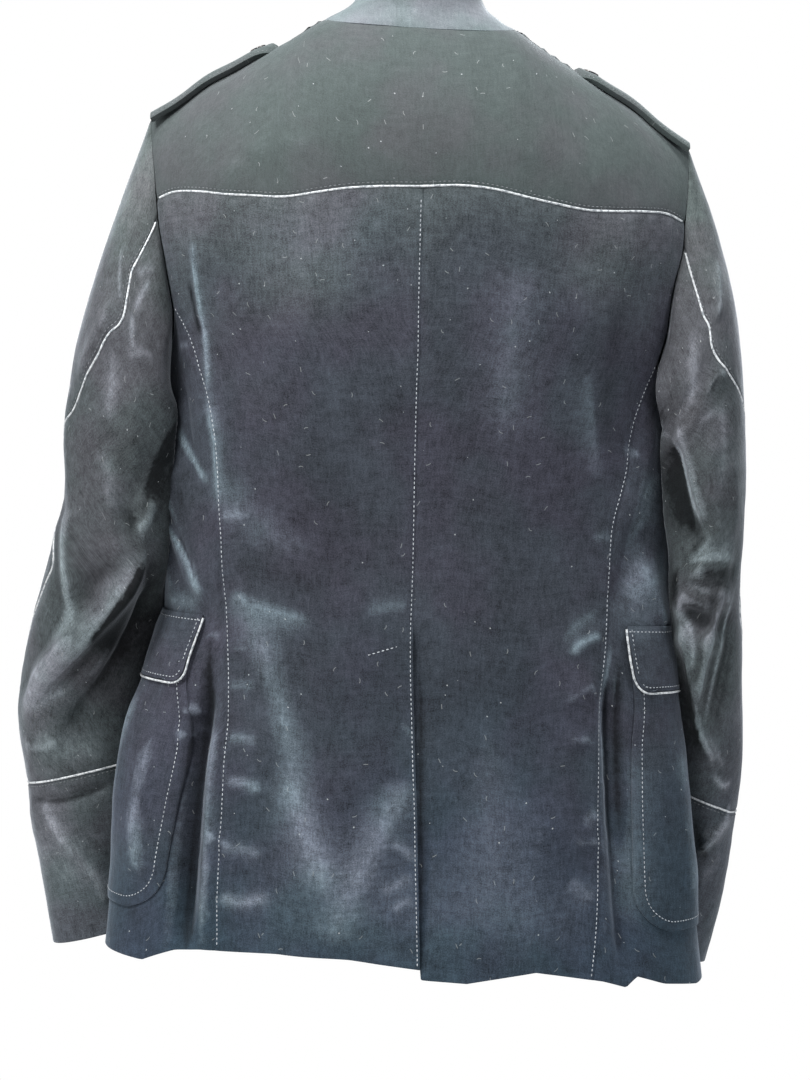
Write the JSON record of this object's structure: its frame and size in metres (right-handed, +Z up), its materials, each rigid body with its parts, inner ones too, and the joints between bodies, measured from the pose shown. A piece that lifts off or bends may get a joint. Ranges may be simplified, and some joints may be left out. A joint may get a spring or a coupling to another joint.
{
  "type": "military jacket",
  "caption": "Slim velvet military jacket, hollow as when worn, with a stand collar, piped back yoke and sleeves, epaulettes, flapped patch pockets and an open centre vent.",
  "frame": {"origin": "the middle of the neck opening, where the wearer's neck and shoulders hold the jacket", "axes": "+X towards the wearer's right, +Y towards the front, +Z up"},
  "size_m": [0.6057, 0.2686, 0.8101],
  "materials": {
    "velvet": "dark blue-grey velvet with a soft nap",
    "yoke_velvet": "the same velvet, rubbed paler and greener",
    "collar_velvet": "the same velvet over stiffening",
    "satin_piping": "silvery satin",
    "horn": "dark, softly shining"
  },
  "bodies": {
    "root": {"yoke": "yoke_velvet", "yoke_piping": "satin_piping", "collar": "collar_velvet", "back_left": "velvet", "back_right": "velvet", "side_left": "velvet", "side_right": "velvet", "front_left": "velvet", "front_right": "velvet", "sleeve_upper_left": "velvet", "sleeve_upper_right": "velvet", "sleeve_under_left": "velvet", "sleeve_under_right": "velvet", "sleeve_piping_left": "satin_piping", "sleeve_piping_right": "satin_piping", "cuff_left": "velvet", "cuff_right": "velvet", "cuff_piping_left": "satin_piping", "cuff_piping_right": "satin_piping", "epaulette_left": "velvet", "epaulette_right": "velvet", "epaulette_button_left": "horn", "epaulette_button_right": "horn", "pocket_left": "velvet", "pocket_right": "velvet", "flap_left": "velvet", "flap_right": "velvet", "flap_piping_left": "satin_piping", "flap_piping_right": "satin_piping", "front_button_1": "horn", "front_button_2": "horn", "front_button_3": "horn", "front_button_4": "horn", "front_button_5": "horn"}
  },
  "joints": []
}
